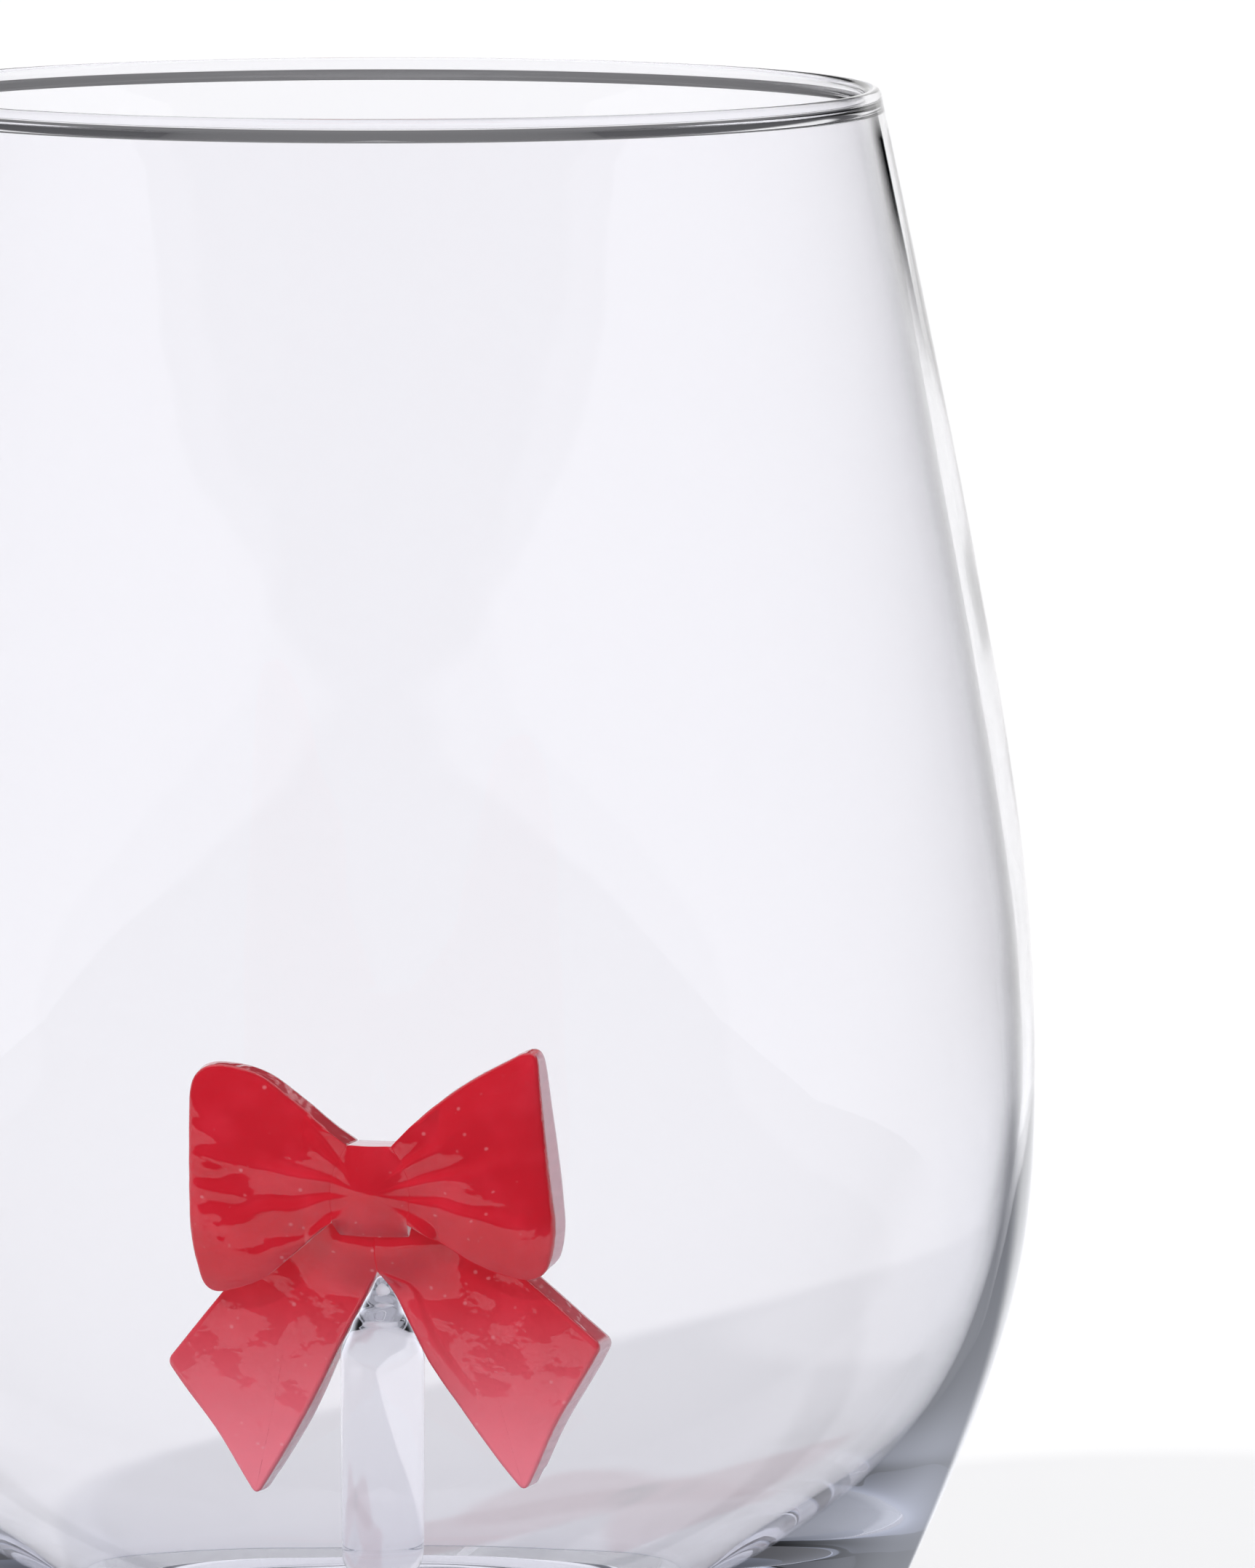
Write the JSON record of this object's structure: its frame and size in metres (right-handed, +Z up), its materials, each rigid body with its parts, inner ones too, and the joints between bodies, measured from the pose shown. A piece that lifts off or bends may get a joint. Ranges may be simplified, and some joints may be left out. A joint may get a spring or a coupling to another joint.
{
  "type": "stemless water glass",
  "caption": "Clear stemless drinking glass with a round belly and a narrower fire-polished rim, with a red ribbon bow on a clear stalk fused to the floor inside.",
  "frame": {"origin": "centre of the base, on the surface that the glass stands on", "axes": "+Z up along the glass's axis, -Y out of the front of the bow, +X along the bow's loops to the right as seen from the front"},
  "size_m": [0.092, 0.092, 0.1214],
  "materials": {
    "clear_glass": "polished, colourless with a trace of lavender",
    "red_glass": "opaque deep red, fire-polished gloss"
  },
  "bodies": {
    "root": {"bowl": "clear_glass", "stalk": "clear_glass", "left_tail": "red_glass", "right_tail": "red_glass", "left_loop": "red_glass", "right_loop": "red_glass", "knot": "red_glass"}
  },
  "joints": []
}
